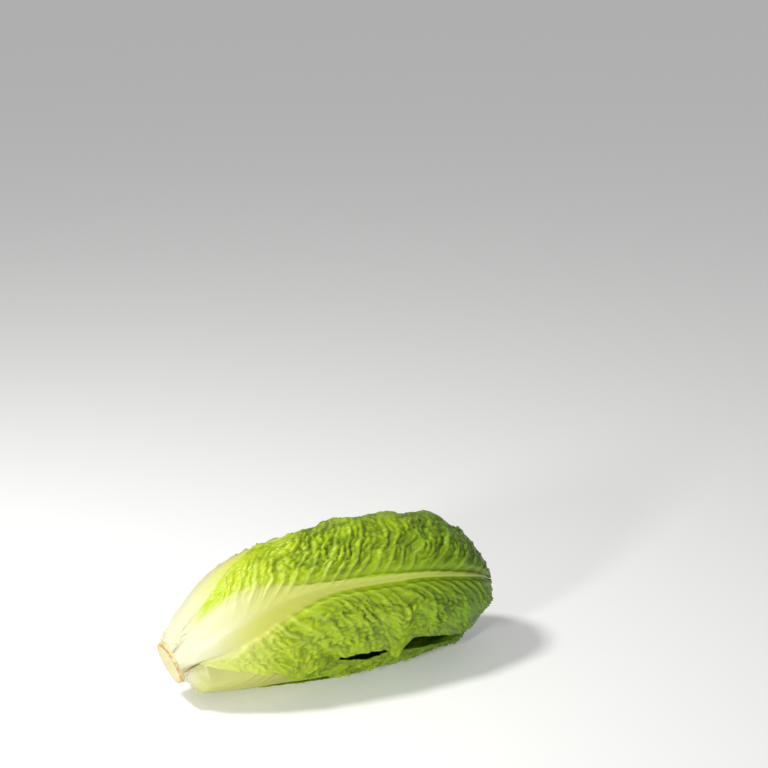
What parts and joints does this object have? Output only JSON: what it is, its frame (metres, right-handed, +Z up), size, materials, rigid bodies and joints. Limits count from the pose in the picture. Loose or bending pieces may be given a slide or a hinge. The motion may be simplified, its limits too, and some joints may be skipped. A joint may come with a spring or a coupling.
{
  "type": "romaine lettuce head",
  "caption": "Whole romaine lettuce head lying on its side: long upright leaves with broad pale ribs wrapped round a heart, on a cut stem.",
  "frame": {"origin": "middle of the head's outline, at the height of the surface it lies on", "axes": "+X along the head from the cut stem to the leaf tips, +Z up; the leaf that shows in front faces -Y"},
  "size_m": [0.2792, 0.1144, 0.1145],
  "materials": {
    "stem": "moist cut plant tissue, satin, with a browned rim",
    "heart": "young leaf, satin",
    "leaf_inner": "pale leaf, satin",
    "leaf_middle": "fresh leaf, satin",
    "leaf_outer": "fresh puckered leaf with a glossy skin, pale rib"
  },
  "bodies": {
    "root": {"stem": "stem", "heart": "heart", "leaf_outer_front": "leaf_outer", "leaf_outer_under": "leaf_outer", "leaf_outer_top": "leaf_outer", "leaf_outer_low": "leaf_outer", "leaf_outer_back": "leaf_outer", "leaf_middle_a": "leaf_middle", "leaf_middle_b": "leaf_middle", "leaf_middle_c": "leaf_middle", "leaf_middle_d": "leaf_middle", "leaf_middle_e": "leaf_middle", "leaf_inner_a": "leaf_inner", "leaf_inner_b": "leaf_inner", "leaf_inner_c": "leaf_inner"}
  },
  "joints": []
}
